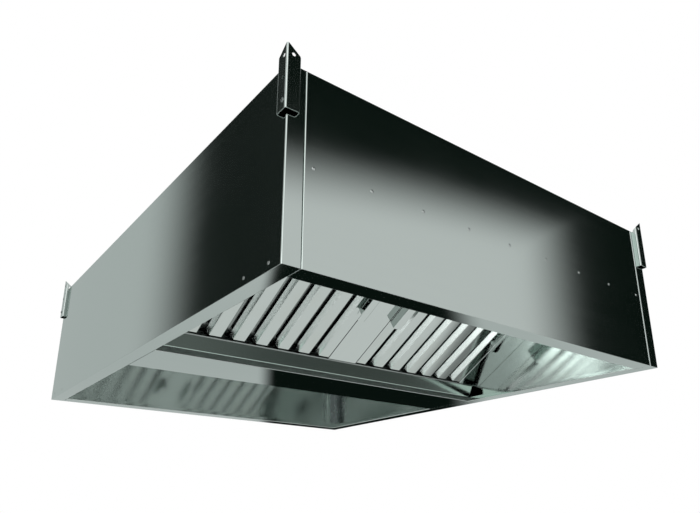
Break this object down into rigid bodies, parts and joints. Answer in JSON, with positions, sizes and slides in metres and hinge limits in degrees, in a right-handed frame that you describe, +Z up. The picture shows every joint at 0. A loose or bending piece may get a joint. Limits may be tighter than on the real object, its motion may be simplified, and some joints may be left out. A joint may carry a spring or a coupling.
{
  "type": "island exhaust hood",
  "caption": "Box-shaped stainless island canopy with leaning rows of lift-out labyrinth filters over a central grease trough, corner hanging brackets and a round duct spigot",
  "frame": {"origin": "middle of the bottom rim, in the plane of the rim", "axes": "+Z up, X across the front, +Y towards the back; the front panel faces -Y"},
  "size_m": [1.2232, 1.518, 0.46],
  "materials": {
    "shell": "satin stainless sheet",
    "roof": "mill-finish stainless sheet",
    "collar": "galvanised spigot",
    "rim_bar": "satin stainless sheet",
    "trough": "satin stainless sheet",
    "housing": "satin stainless sheet",
    "cassette_frame": "satin stainless sheet",
    "front_baffle": "satin stainless sheet",
    "rear_baffle": "satin stainless sheet",
    "grip": "satin stainless sheet",
    "bracket": "folded stainless bracket",
    "hidden_angle": "mill-finish stainless angle",
    "fastener": "stainless rivets, nuts and screws"
  },
  "bodies": {
    "canopy": {"left_end_panel": "shell", "right_end_panel": "shell", "front_panel": "shell", "back_panel": "shell", "roof_panel": "roof", "duct_collar": "collar", "central_bar": "rim_bar", "near_lower_rail": "housing", "near_upper_rail": "housing", "near_closing_plate": "housing", "near_left_blank": "housing", "near_centre_blank": "housing", "near_right_blank": "housing", "far_lower_rail": "housing", "far_upper_rail": "housing", "far_closing_plate": "housing", "far_left_blank": "housing", "far_centre_blank": "housing", "far_right_blank": "housing", "front_stiffener": "hidden_angle", "back_stiffener": "hidden_angle", "front_left_corner_angle": "hidden_angle", "front_left_bracket": "bracket", "front_right_corner_angle": "hidden_angle", "front_right_bracket": "bracket", "back_left_corner_angle": "hidden_angle", "back_left_bracket": "bracket", "back_right_corner_angle": "hidden_angle", "back_right_bracket": "bracket", "corner_cleats": "hidden_angle", "front_rivets": "fastener", "back_rivets": "fastener", "rim_rivets": "fastener", "roof_rivets": "fastener", "collar_rivets": "fastener", "bar_rivets": "fastener", "corner_nuts": "fastener", "bracket_screws": "fastener"},
    "near_left_cassette": {"near_left_frame": "cassette_frame", "near_left_front_baffles": "front_baffle", "near_left_rear_baffles": "rear_baffle", "near_left_grips": "grip"},
    "near_right_cassette": {"near_right_frame": "cassette_frame", "near_right_front_baffles": "front_baffle", "near_right_rear_baffles": "rear_baffle", "near_right_grips": "grip"},
    "far_left_cassette": {"far_left_frame": "cassette_frame", "far_left_front_baffles": "front_baffle", "far_left_rear_baffles": "rear_baffle", "far_left_grips": "grip"},
    "far_right_cassette": {"far_right_frame": "cassette_frame", "far_right_front_baffles": "front_baffle", "far_right_rear_baffles": "rear_baffle", "far_right_grips": "grip"},
    "trough": {"grease_trough": "trough"}
  },
  "joints": [
    {"name": "near_left_lift", "type": "slide", "parent": "canopy", "child": "near_left_cassette", "axis": [0, -0.866, 0.5], "range_m": [0, 0.024]},
    {"name": "near_right_lift", "type": "slide", "parent": "canopy", "child": "near_right_cassette", "axis": [0, -0.866, 0.5], "range_m": [0, 0.024]},
    {"name": "far_left_lift", "type": "slide", "parent": "canopy", "child": "far_left_cassette", "axis": [0, 0.866, 0.5], "range_m": [0, 0.024]},
    {"name": "far_right_lift", "type": "slide", "parent": "canopy", "child": "far_right_cassette", "axis": [0, 0.866, 0.5], "range_m": [0, 0.024]},
    {"name": "trough_slide", "type": "slide", "parent": "canopy", "child": "trough", "axis": [1, 0, 0], "range_m": [-0.025, 0.025]}
  ]
}
